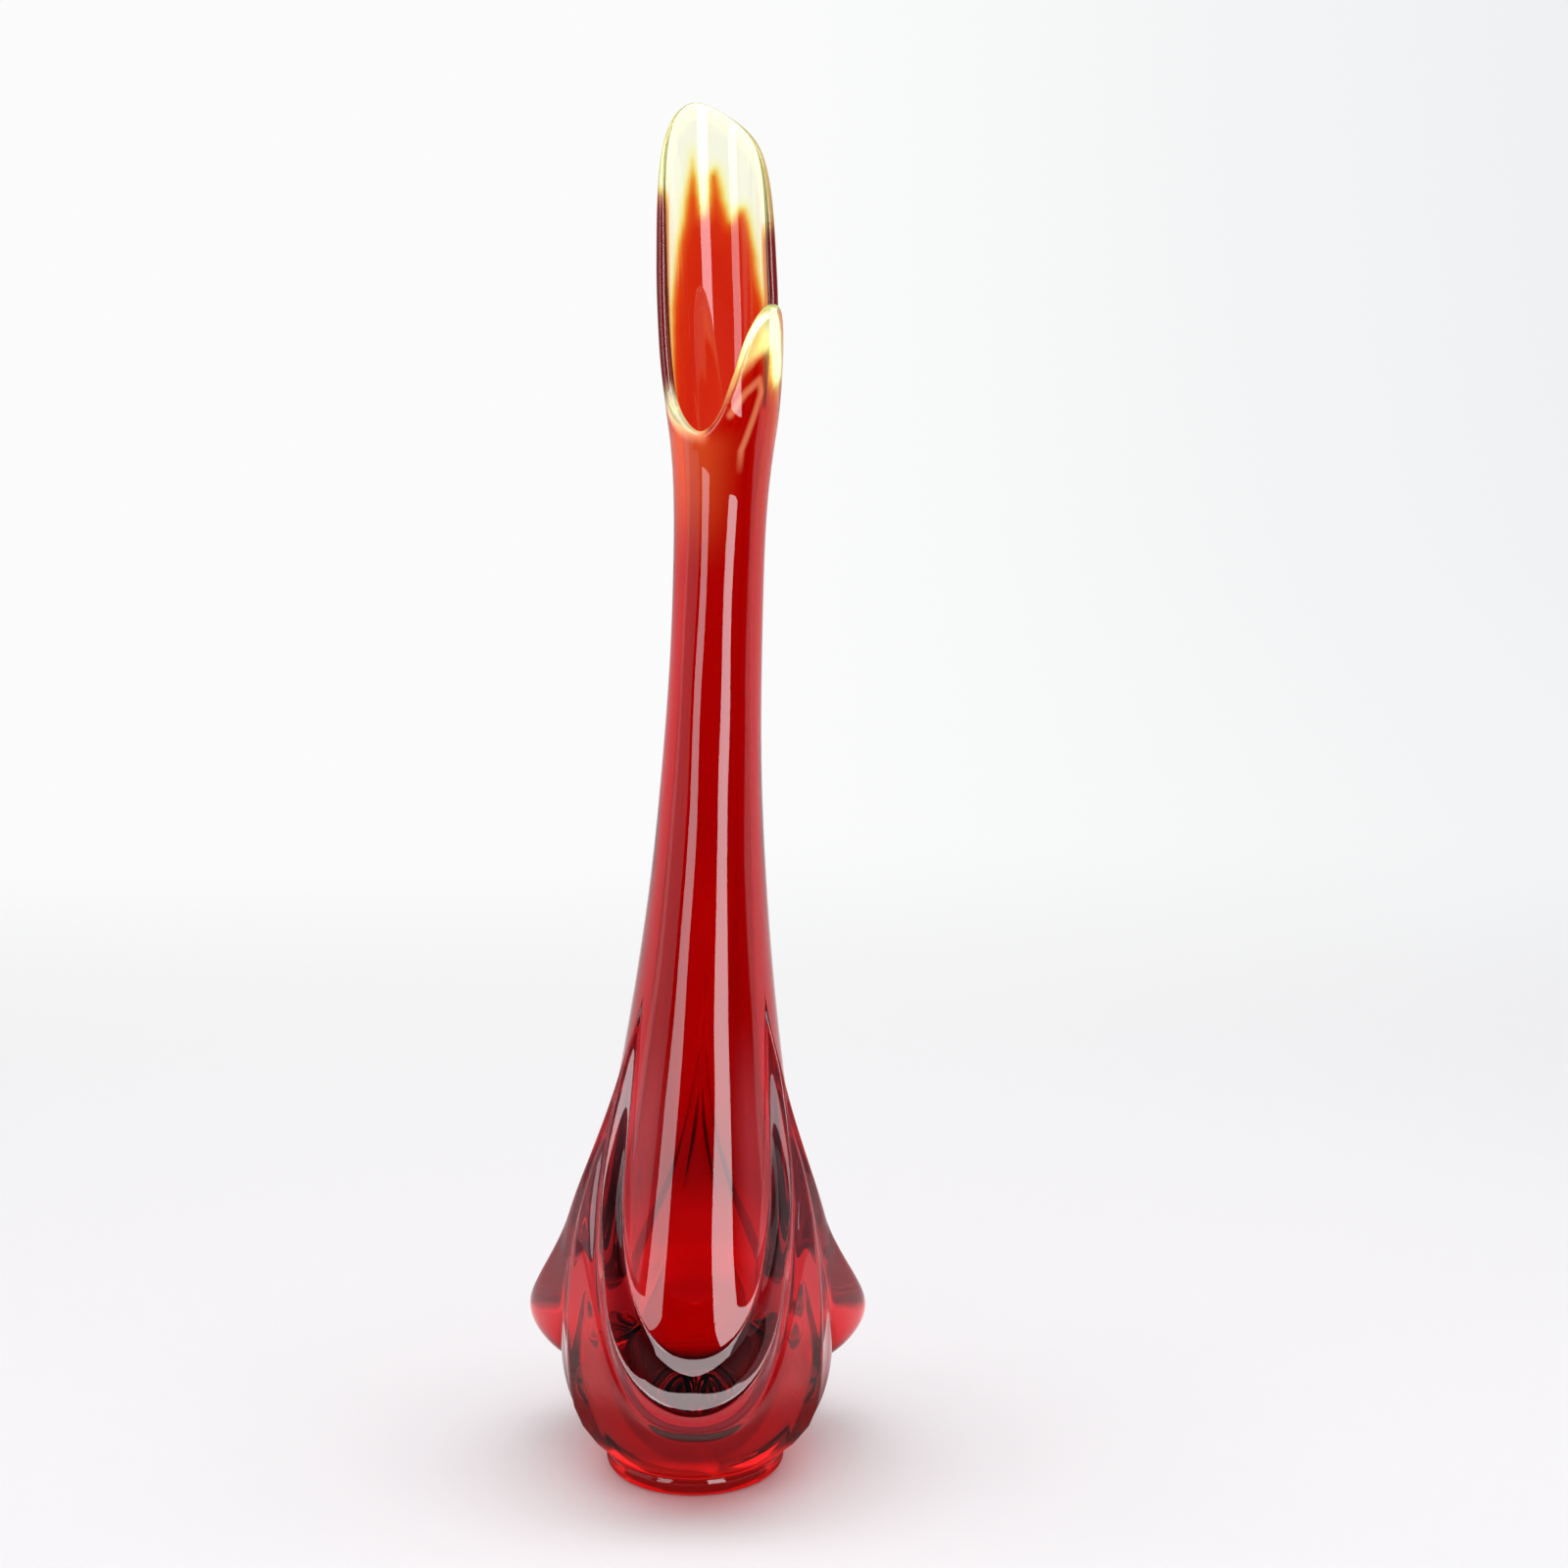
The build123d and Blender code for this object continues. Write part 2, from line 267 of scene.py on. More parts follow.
def leaned(evenTurn, edgeTurn, t):
    # columns lean towards their own place on the rim as they climb the neck
    return evenTurn + grid["leanShare"] * ease(t) * (edgeTurn - evenTurn)


def leanedFurther(evenTurn, edgeTurn, t):
    # and reach it as they climb the mouth: share + (1 - share) t^power
    lean = grid["leanShare"] + (1 - grid["leanShare"]) * t ** grid["leanPower"]
    return evenTurn + lean * (edgeTurn - evenTurn)


def vaseGrid():
    # rows of points from the middle of the recess under the foot, up the outside, over the rim
    # and down the bore to the floor of the well; each row has one point a column
    columns = grid["columns"]
    arc, height, outward, half, perDegree = rimLines()
    evenTurn = arc[0] / perDegree + 360 * np.arange(columns) / columns
    share = drapeShare(evenTurn)
    ones = np.ones(columns)
    rows = []

    foot = body["footHeight"]
    bore, boreRoll, roll = body["footBore"], body["footBoreRoll"], body["footRoll"]
    profile = [(radius, foot) for radius in rings["recess"]]
    profile += [(bore + out, foot + up) for out, up in rings["recessEdge"]]
    profile += [(bore, rings["boreMiddle"]), (bore, boreRoll)]
    for a in np.linspace(0, 90, grid["boreRollRows"])[1:]:
        c, s = math.cos(math.radians(a)), math.sin(math.radians(a))
        profile.append((bore + boreRoll * (1 - c), boreRoll * (1 - s)))
    for a in np.linspace(0, 90, grid["footRollRows"]):
        c, s = math.cos(math.radians(a)), math.sin(math.radians(a))
        profile.append((body["footRadius"] - roll * (1 - s), roll * (1 - c)))
    profile += [(body["footRadius"] + out, z) for out, z in rings["seat"]]
    for radius, z in profile:
        rows.append(place(evenTurn, radius * ones, z * ones))

    crease, lip, ledge = drapeLines(share)
    levels = []
    for t in np.linspace(0, 1, grid["mantleRows"]):
        levels.append(crease - (crease - foot) * (1 - t) ** grid["mantleCrowding"])
    for t in np.linspace(0, 1, grid["underRows"])[1:]:
        levels.append(crease + (lip - crease) * t ** grid["underCrowding"])
    for t in np.linspace(0, 1, grid["scoopRows"])[1:]:
        levels.append(lip + (ledge - lip) * t)
    for t in np.linspace(0, 1, grid["panelRows"])[1:]:
        levels.append(ledge + (body["bulbTop"] - ledge) * t)
    for z in levels:
        rows.append(place(evenTurn, bulbSurface(share, z) + ripple(evenTurn, z), z))

    edgeTurn = (arc - half * outward[:, 0]) / perDegree
    edgeHeight = height - half * outward[:, 1]
    for t in np.linspace(0, 1, grid["neckRows"])[1:]:
        z = (body["bulbTop"] + (body["neckTop"] - body["bulbTop"]) * t) * ones
        turn = leaned(evenTurn, edgeTurn, t)
        rows.append(place(turn, neckRadius(z) + ripple(turn, z), z))
    for t in np.linspace(0, 1, grid["mouthRows"])[1:]:
        z = body["neckTop"] + (edgeHeight - body["neckTop"]) * t
        turn = leanedFurther(evenTurn, edgeTurn, t)
        rows.append(place(turn, mouthRadius(z) + ripple(turn, z), z))

    # rim: half a circle across the wall, from the outer skin over the edge to the inner skin
    for a in np.linspace(0, 180, grid["rimRows"] + 1)[1:]:
        out = math.sin(math.radians(a))
        across = math.cos(math.radians(a))
        turn = (arc + (out - 1) * half * outward[:, 0]) / perDegree
        z = height + (out - 1) * half * outward[:, 1]
        radius = mouthRadius(z) - half + across * half + ripple(turn, z) * (1 + across) / 2
        rows.append(place(turn, radius, z))
    for t in np.linspace(1, 0, grid["innerMouthRows"])[1:]:
        z = body["neckTop"] + (edgeHeight - body["neckTop"]) * t
        turn = leanedFurther(evenTurn, edgeTurn, t)
        rows.append(place(turn, mouthRadius(z) - wallAt(z), z))
    for t in np.linspace(1, 0, grid["innerNeckRows"])[1:]:
        z = (body["bulbTop"] + (body["neckTop"] - body["bulbTop"]) * t) * ones
        turn = leaned(evenTurn, edgeTurn, t)
        rows.append(place(turn, boreRadius(z), z))
    for t in np.linspace(1, 0, grid["wellRows"])[1:]:
        z = (body["wellFloor"] + (body["bulbTop"] - body["wellFloor"]) * t ** grid["wellCrowding"]) * ones
        rows.append(place(evenTurn, boreRadius(z), z))
    for radius, drop in rings["well"]:
        rows.append(place(evenTurn, radius * ones, (body["wellFloor"] - drop) * ones))
    return np.array(rows)


# where the ruby ends: turn from the front, height; pale glass above it, ruby below it
flame = dict(
    line=[(-26, 401), (-8, 406), (6, 413.5), (23, 423), (36, 427.5), (50, 430.5), (55, 428), (58, 416),
          (66, 416.5), (74, 419), (88, 415), (103, 395), (111, 416), (118, 432), (125, 442), (131, 448),
          (135, 454), (139, 462), (144, 470), (150, 476), (158, 476), (166, 472), (172, 478),
          (180, 490), (187, 488), (192, 477), (196, 474), (200, 483), (205, 495), (211, 485),
          (218, 474), (224, 467), (231, 460), (238, 450), (245, 440), (253, 426), (262, 412),
          (270, 409), (284, 410), (296, 406.5), (308, 404), (321, 402), (334, 401)],
    deepest=-40.0, highest=12.0, samples=721,
    # the salmon fold in the low petal, a steep arch: turn, height
    fold=[(8, 408), (23, 415.5), (38.6, 420), (41, 415.5), (35, 408.7), (24.7, 398.4), (18.4, 392.6)],
    foldWidth=2.0, foldFade=1.7, foldLow=385,
)

# where the tints and the painted light and shade lie: scoop and under place painted shade, and olive, ivory,
# warm, lip, arms, keel and the petal's border painted glows. Turns are in degrees from the front, the keel's
# from the back. Heights and depths are in millimetres, the rim's depth in walls, and shares run from a
# drape's middle to its keel. A stretch is from, to, fade in, fade out; a start is from, fade in; an end is
# to, fade out
tintsAndPaintedLight = dict(
    petal=dict(turn=(-70, 114, 20, 8), height=(392, 8), flank=(63, 14), flankShare=0.35),
    rim=dict(away=(6.5, 3.5), depth=(1.25, 0.5), clearShare=0.6),
    leftSide=dict(turn=(232, 298, 12, 14), height=(404, 488, 8, 12)),
    rightSide=dict(turn=(94, 134, 6, 12), height=(408, 476, 8, 12)),
    olive=dict(height=(440, 20)),
    ivory=dict(turn=(278, 348, 14, 14), height=(430, 10)),
    warm=dict(turn=(-110, 28, 50, 60), height=(348, 406, 40, 10)),
    # heights from the lip and the ledge, from the crease, and from the crease and the lip
    scoopShade=dict(height=(-5, 1, 10, 3), share=(0.97, 0.2)),
    under=dict(height=(-16, -2, 4, 3), share=(0.75, 0.3)),
    lip=dict(height=(1, 1, 4, 2), share=(0.85, 0.3)),
    drapes=dict(depth=(2, 3), height=(9, 165, 3, 25)),
    arms=dict(share=(0.3, 0.3), height=(52, 190, 30, 50)),
    keel=dict(turn=(32, 18), height=(112, 250, 25, 40)),
)


def starts(value, start, fade):
    # 0 up to the start, 1 from one fade further on
    return ease((value - start) / fade)


def ends(value, end, fade):
    # 1 until one fade before the end, 0 after it
    return ease((end - value) / fade)


def stretch(value, start, end, fadeIn, fadeOut):
    return starts(value, start, fadeIn) * ends(value, end, fadeOut)


def around(points):
    # each point as its turn from the front, its distance from the leaning axis, and its height
    z = points[:, 2]
    aside = points[:, 0] - centreX(z)
    return np.degrees(np.arctan2(aside, -points[:, 1])), np.hypot(aside, points[:, 1]), z


def paleRise(turn, z):
    # millimetres above the flame line, measured square to it on the unrolled glass; below it negative
    perDegree = math.radians(mouth["radius"])
    turns, heights = np.array(flame["line"], float).T
    fine = np.linspace(turns[0], turns[-1], flame["samples"])[:-1]
    level = np.interp(fine, turns, heights)
    above = z - np.interp((turn - turns[0]) % 360 + turns[0], fine, level, period=360)
    rise = np.full(z.shape, flame["deepest"])
    near = np.flatnonzero(z > heights[0] + flame["deepest"])
    gap = np.abs(turn[near, None] - fine[None]) % 360
    gap = np.minimum(gap, 360 - gap) * perDegree
    away = np.hypot(gap, z[near, None] - level[None]).min(1)
    rise[near] = np.sign(above[near]) * away
    return np.clip(rise, flame["deepest"], flame["highest"])


def borderShare(turn, z):
    # 1 on the low front petal's border, where a pale glow is painted, less on its right flank, where white
    # shows through it
    petal = tintsAndPaintedLight["petal"]
    flank = petal["flankShare"] + (1 - petal["flankShare"]) * ends(turn, *petal["flank"])
    return flank * stretch(turn, *petal["turn"]) * starts(z, *petal["height"])


def drapeShares(turn, radius, z):
    # 1 in the scoops behind the lips and in the band under the creases, where shade is painted, 1 on the
    # lips, where a highlight is painted, and 1 on the arms beside the panels, where a mauve sheen of light
    # is painted
    share = drapeShare(turn)
    crease, lip, ledge = drapeLines(share)
    outside = starts(radius - boreRadius(z), *tintsAndPaintedLight["drapes"]["depth"])
    onDrapes = outside * stretch(z, *tintsAndPaintedLight["drapes"]["height"])

    def part(name, low, high):
        start, end, fadeIn, fadeOut = tintsAndPaintedLight[name]["height"]
        return stretch(z, low + start, high + end, fadeIn, fadeOut) * ends(share, *tintsAndPaintedLight[name]["share"])

    scoopShade = onDrapes * np.maximum(part("scoopShade", lip, ledge), part("under", crease, crease))
    face = onDrapes * part("lip", crease, lip)
    arms = outside * starts(share, *tintsAndPaintedLight["arms"]["share"]) * stretch(z, *tintsAndPaintedLight["arms"]["height"])
    return scoopShade, face, arms * (1 - scoopShade)


def rimNearness(turn, radius, z):
    # 1 on the rounded rim and the outer skin beside it, 0 further away and on the inner skin
    arc, height, outward, half, perDegree = rimLines()
    near = np.flatnonzero(z > body["neckTop"])
    gap = np.abs(turn[near, None] * perDegree - arc[None]) % (360 * perDegree)
    gap = np.minimum(gap, 360 * perDegree - gap)
    away = np.hypot(gap, z[near, None] - height[None]).min(1)
    depth = (mouthRadius(z[near]) - radius[near]) / wallAt(z[near])
    share = np.zeros(len(z))
    share[near] = ends(away, *tintsAndPaintedLight["rim"]["away"]) * ends(depth, *tintsAndPaintedLight["rim"]["depth"])
    return share


def patch(name, turn, z):
    # a tint with edges all round
    return stretch(turn, *tintsAndPaintedLight[name]["turn"]) * stretch(z, *tintsAndPaintedLight[name]["height"])


def foldShare(turn, radius, z):
    # 1 along the fold in the outer half of the wall, 0 from its width away
    perDegree = math.radians(mouth["radius"])
    depth = (mouthRadius(z) - radius) / wallAt(z)
    away = np.full(z.shape, 9.0)   # further than the fold reaches
    fold = np.array(flame["fold"], float) * np.array([perDegree, 1])
    for start, end in zip(fold[:-1], fold[1:]):
        run = end - start
        along = ramp(((turn * perDegree - start[0]) * run[0] + (z - start[1]) * run[1]) / (run @ run))
        gap = np.hypot(turn * perDegree - start[0] - along * run[0], z - start[1] - along * run[1])
        away = np.minimum(away, gap)
    return ends(away, flame["foldWidth"], flame["foldFade"]) * (depth < 0.5) * (z > flame["foldLow"])


def glassShares(points):
    turn, radius, z = around(points)
    rim = rimNearness(turn, radius, z)
    lap = turn % 360
    # where the rim runs up the two sides of the mouth and shows the ruby wall end on, with a painted maroon
    # glow
    side = np.maximum(patch("leftSide", lap, z), patch("rightSide", lap, z)) * rim
    border = borderShare(turn, z) * (1 - tintsAndPaintedLight["rim"]["clearShare"] * rim)
    ivory = stretch(lap, *tintsAndPaintedLight["ivory"]["turn"]) * ends(z, *tintsAndPaintedLight["ivory"]["height"])
    # the back keel and the glass above it, as seen through the front panel, where a glow is painted
    keel = ends(180 - np.abs(turn), *tintsAndPaintedLight["keel"]["turn"]) * stretch(z, *tintsAndPaintedLight["keel"]["height"])
    scoopShade, face, arms = drapeShares(turn, radius, z)
    return dict(
        paleness=(paleRise(turn, z) - flame["deepest"]) / (flame["highest"] - flame["deepest"]),
        border=border, side=side, scoopShade=scoopShade,
        olive=rim * (1 - side) * (1 - border) * starts(z, *tintsAndPaintedLight["olive"]["height"]),
        arms=arms, ivory=rim * ivory, fold=foldShare(turn, radius, z),
        warm=patch("warm", turn, z), lip=face, keel=keel)


def vaseMesh():
    columns = grid["columns"]
    rows = vaseGrid()
    print("vase rows:", len(rows), "columns:", columns)
    flat = rows.reshape(-1, 3)
    points = np.vstack([flat, rows[0].mean(0), rows[-1].mean(0)])
    # squares between the rows, and a fan of triangles at each end
    column, beside = np.arange(columns), (np.arange(columns) + 1) % columns
    row = np.arange(len(rows) - 1)[:, None] * columns
    quads = np.stack([row + column, row + beside, row + columns + beside, row + columns + column], -1)
    lastRow = (len(rows) - 1) * columns
    firstFan = np.stack([column, np.full(columns, len(flat)), beside], 1)
    lastFan = np.stack([lastRow + column, lastRow + beside, np.full(columns, len(flat) + 1)], 1)
    faces = quads.reshape(-1, 4).tolist() + firstFan.tolist() + lastFan.tolist()
    mesh = bpy.data.meshes.new("blownGlass")
    mesh.from_pydata((points * mm).tolist(), [], faces)
    mesh.polygons.foreach_set("use_smooth", np.ones(len(mesh.polygons), bool))
    for name, values in glassShares(points).items():
        attribute = mesh.attributes.new(name, "FLOAT", "POINT")
        attribute.data.foreach_set("value", values.astype(np.float32))
    mesh.validate()
    mesh.update()
    return mesh


glass = dict(
    ior=1.5, roughness=0.012,
    # soaked up on the way through, so that thick glass goes dark
    absorbColour=(0.60, 0.70, 0.55), absorbDensity=10.0,
    # colour across the flame line, in millimetres above it. The colours by height take over under
    # these bands: from rubyFrom, in the same millimetres, to rubyFull, a share of paleness
    bands=[(-16, (0.70, 0.020, 0.006)), (-6, (0.74, 0.030, 0.005)), (-3, (0.82, 0.085, 0.008)),
           (-1.8, (0.90, 0.22, 0.020)), (-0.9, (0.96, 0.46, 0.060)), (0.2, (0.98, 0.76, 0.20)),
           (1.2, (0.98, 0.92, 0.44)), (2.6, (0.98, 0.97, 0.68)), (5.5, (0.985, 0.98, 0.82))],
    rubyFrom=-16, rubyFull=0.02,
    # how far the flame line wanders, as a share of the way from flame's deepest to its highest
    wander=0.05, wanderScale=90, wanderDetail=2,
    # colour by height above the table, in metres: the ruby's own colour, with painted shade in a darker band
    # about 20 to 40 mm up and painted light at the panel's foot, about 68 mm up
    rubyAndShadeByHeight=[(0.0, (0.76, 0.010, 0.012)), (0.015, (0.76, 0.008, 0.010)), (0.021, (0.50, 0.006, 0.010)),
            (0.038, (0.50, 0.006, 0.010)), (0.052, (0.72, 0.006, 0.010)), (0.068, (0.82, 0.006, 0.008)),
            (0.09, (0.64, 0.006, 0.010)), (0.105, (0.52, 0.006, 0.012)), (0.14, (0.58, 0.006, 0.014)),
            (0.20, (0.61, 0.008, 0.014)), (0.30, (0.66, 0.010, 0.016)), (0.36, (0.68, 0.016, 0.014)),
            (0.39, (0.72, 0.030, 0.008))],
    # painted shade in the scoops and in the band under the creases
    scoopShade=(0.20, 0.004, 0.010),
    # painted light, as glows in the glass: above the flame line, on each share, and by height low in the
    # bulb
    paleGlow=(0.45, 0.50, 0.17), faintGlow=(0.025, 0.025, 0.01), paleGlowFrom=-1.5, paleGlowFull=2.0,
    # painted glows: olive, side and ivory light the rim, arms a mauve sheen, lip a highlight, warm the upper
    # neck's left, keel the back seen through the vase; the salmon fold is the glass's own streak, drawn as a
    # glow
    paintedGlows=dict(olive=(0.21, 0.20, 0.06), arms=(0.10, 0.024, 0.030), side=(0.09, 0.004, 0.003),
                  ivory=(0.60, 0.55, 0.30), fold=(0.30, 0.17, 0.075), warm=(0.10, 0.050, 0.012),
                  lip=(0.15, 0.014, 0.020), keel=(0.20, 0.003, 0.004)),
    # painted light by height in metres: a glow in the foot and at the panel's foot
    paintedGlowByHeight=[(0.0, (0.12, 0.002, 0.002)), (0.0075, (0.13, 0.002, 0.002)), (0.0095, (0.40, 0.003, 0.003)),
            (0.0145, (0.34, 0.003, 0.003)), (0.0185, (0.0, 0.0, 0.0)), (0.062, (0.0, 0.0, 0.0)),
            (0.070, (0.30, 0.0, 0.0)), (0.086, (0.26, 0.0, 0.0)), (0.104, (0.0, 0.0, 0.0))],
    # colour from the flame's edge to the middle of the side rim, and the share from which it shows
    sides=[(0.0, (0.98, 0.80, 0.30)), (0.3, (0.92, 0.42, 0.06)), (0.55, (0.40, 0.05, 0.02)),
           (1.0, (0.14, 0.010, 0.012))],
    sideFrom=0.02, sideFull=0.3,
    # slow waviness of fire-polished glass
    waveScale=22, waveDetail=1, waveStrength=0.12, waveHeight=0.002,
)


def node(tree, kind, **values):
    made = tree.nodes.new(kind)
    for name, value in values.items():
        setattr(made, name, value)
    return made


def feed(tree, socket, source):
    # a socket takes a link from another node, or a plain value
    if isinstance(source, bpy.types.NodeSocket):
        tree.links.new(source, socket)
    else:
        socket.default_value = source


def maths(tree, operation, *sources, clamp=False):
    made = node(tree, "ShaderNodeMath", operation=operation, use_clamp=clamp)
    for socket, source in zip(made.inputs, sources):
        feed(tree, socket, source)
    return made.outputs[0]


def easedRange(tree, source, start, full, top=1.0):
    # 0 at the start, the top when full, without a corner at either
    made = node(tree, "ShaderNodeMapRange", interpolation_type="SMOOTHSTEP")
    for name, value in (("Value", source), ("From Min", start), ("From Max", full), ("To Max", top)):
        feed(tree, made.inputs[name], value)
    return made.outputs[0]


def mixColours(tree, share, first, second):
    made = node(tree, "ShaderNodeMix", data_type="RGBA")
    for name, source in (("Factor", share), ("A", first), ("B", second)):
        feed(tree, made.inputs[name], source)
    return made.outputs["Result"]


def mixShaders(tree, share, first, second):
    made = node(tree, "ShaderNodeMixShader")
    for socket, source in zip(made.inputs, (share, first, second)):
        feed(tree, socket, source)
    return made.outputs[0]


def colourRamp(tree, source, stops):
    made = node(tree, "ShaderNodeValToRGB")
    while len(made.color_ramp.elements) < len(stops):
        made.color_ramp.elements.new(0.5)
    for element, (position, colour) in zip(made.color_ramp.elements, stops):
        element.position = position
        element.color = (*colour, 1)
    feed(tree, made.inputs["Fac"], source)
    return made.outputs["Color"]


def noise(tree, place, scale, detail):
    made = node(tree, "ShaderNodeTexNoise")
    for name, value in (("Vector", place), ("Scale", scale), ("Detail", detail)):
        feed(tree, made.inputs[name], value)
    return made.outputs["Fac"]


def glassMaterial():
    made = bpy.data.materials.new("rubyToAmberGlass")
    made.use_nodes = True
    tree = made.node_tree
    tree.nodes.clear()
    out = node(tree, "ShaderNodeOutputMaterial")
    shader = node(tree, "ShaderNodeBsdfPrincipled")
    shader.inputs["Transmission Weight"].default_value = 1.0
    shader.inputs["Metallic"].default_value = 0.0
    shader.inputs["IOR"].default_value = glass["ior"]
    shader.inputs["Roughness"].default_value = glass["roughness"]
    shader.inputs["Emission Strength"].default_value = 1.0
    tree.links.new(shader.outputs["BSDF"], out.inputs["Surface"])
    absorb = node(tree, "ShaderNodeVolumeAbsorption")
    absorb.inputs["Color"].default_value = (*glass["absorbColour"], 1)
    absorb.inputs["Density"].default_value = glass["absorbDensity"]
    tree.links.new(absorb.outputs["Volume"], out.inputs["Volume"])

    here = node(tree, "ShaderNodeTexCoord").outputs["Object"]
    split = node(tree, "ShaderNodeSeparateXYZ")
    tree.links.new(here, split.inputs[0])
    height = split.outputs["Z"]
    leaving = node(tree, "ShaderNodeNewGeometry").outputs["Backfacing"]
    entering = maths(tree, "SUBTRACT", 1.0, leaving)

    def share(name):
        return node(tree, "ShaderNodeAttribute", attribute_name=name).outputs["Fac"]

    def onBands(rise):
        # millimetres above the flame line as a place on the paleness share
        return (rise - flame["deepest"]) / (flame["highest"] - flame["deepest"])

    # paleness + wander (noise - 0.5): the flame line wanders by about a millimetre
    pale, wander = share("paleness"), glass["wander"]
    level = maths(tree, "SUBTRACT", pale, wander / 2)
    cloud = noise(tree, here, glass["wanderScale"], glass["wanderDetail"])
    wobble = maths(tree, "MULTIPLY_ADD", cloud, wander, level)
    bands = colourRamp(tree, wobble, [(onBands(rise), colour) for rise, colour in glass["bands"]])
    # painted shade: the scoops are painted darker to light that goes in; light from behind comes out through
    # them undimmed
    shadeIntoScoop = maths(tree, "MULTIPLY", share("scoopShade"), entering)
    rubyWithShade = mixColours(tree, shadeIntoScoop, colourRamp(tree, height, glass["rubyAndShadeByHeight"]), (*glass["scoopShade"], 1))
    below = easedRange(tree, pale, onBands(glass["rubyFrom"]), glass["rubyFull"])
    front = mixColours(tree, below, bands, rubyWithShade)
    side = share("side")
    onSide = easedRange(tree, side, glass["sideFrom"], glass["sideFull"])
    colour = mixColours(tree, onSide, front, colourRamp(tree, side, glass["sides"]))
    tree.links.new(colour, shader.inputs["Base Color"])

    # the painted glows low in the bulb, on the arms and on the lips show only where light enters, so they
    # stay out of what is seen through them
    offScoop = maths(tree, "SUBTRACT", entering, shadeIntoScoop)
    glow = mixColours(tree, offScoop, (0, 0, 0, 1), colourRamp(tree, height, glass["paintedGlowByHeight"]))
    # painted light: a faint yellow glow above the flame line, strong on the low petal's pale border
    paleGlow = easedRange(tree, wobble, onBands(glass["paleGlowFrom"]), onBands(glass["paleGlowFull"]))
    glow = mixColours(tree, paleGlow, glow, (*glass["faintGlow"], 1))
    glow = mixColours(tree, maths(tree, "MULTIPLY", share("border"), paleGlow), glow, (*glass["paleGlow"], 1))
    # painted light: the back keel glows as seen through the vase
    lightSides = dict(arms=entering, lip=entering, keel=leaving)
    for name, paintedGlows in glass["paintedGlows"].items():
        where = share(name)
        if name in lightSides:
            where = maths(tree, "MULTIPLY", where, lightSides[name])
        glow = mixColours(tree, where, glow, (*paintedGlows, 1))
    tree.links.new(glow, shader.inputs["Emission Color"])

    bump = node(tree, "ShaderNodeBump")
    bump.inputs["Strength"].default_value = glass["waveStrength"]
    bump.inputs["Distance"].default_value = glass["waveHeight"]
    tree.links.new(noise(tree, here, glass["waveScale"], glass["waveDetail"]), bump.inputs["Height"])
    tree.links.new(bump.outputs["Normal"], shader.inputs["Normal"])
    return made


vase = bpy.data.objects.new("blown_glass_vase", vaseMesh())
scene.collection.objects.link(vase)
vase.data.materials.append(glassMaterial())
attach(vase, "root")
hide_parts("foot_ring", "draped_bulb", "neck", "mouth")
print("vase made, points:", len(vase.data.vertices))


# a wide sheet of paper: floor running up into a backdrop. Each pair of places is where a change
# starts and where it is full, in metres
stage = dict(
    floorColour=(0.90, 0.89, 0.895), paperLeft=(0.965, 0.97, 0.965), paperRight=(0.86, 0.87, 0.885),
    depth=1.6, bend=0.9, bendSteps=24, height=3.2, width=12.0, front=5.0, roughness=0.9,
    shadeAcross=(-0.2, 1.0), plainFrom=(0.15, 0.9),
    dimColour=(0.01, 0.01, 0.01), dimFront=(-0.17, -0.25), dimNear=(0.14, 0.07), dimNearShare=0.8,
    litAgain=(-0.35, -0.6),
)


def sweepMesh():
    # profile: flat floor, a quarter circle, then upright
    back, bend, half = stage["depth"], stage["bend"], stage["width"] / 2
    angle = np.linspace(0, math.pi / 2, stage["bendSteps"])
    y = np.concatenate([[-stage["front"], 0.0], back + bend * np.sin(angle), [back + bend]])
    z = np.concatenate([[0.0, 0.0], bend * (1 - np.cos(angle)), [stage["height"]]])
    points = [(x, a, b) for x in (-half, half) for a, b in zip(y, z)]
    n = len(y)
    faces = [(i, n + i, n + i + 1, i + 1) for i in range(n - 1)]
    mesh = bpy.data.meshes.new("paperSweep")
    mesh.from_pydata([tuple(map(float, p)) for p in points], [], faces)
    mesh.polygons.foreach_set("use_smooth", np.ones(len(faces), bool))
    return mesh


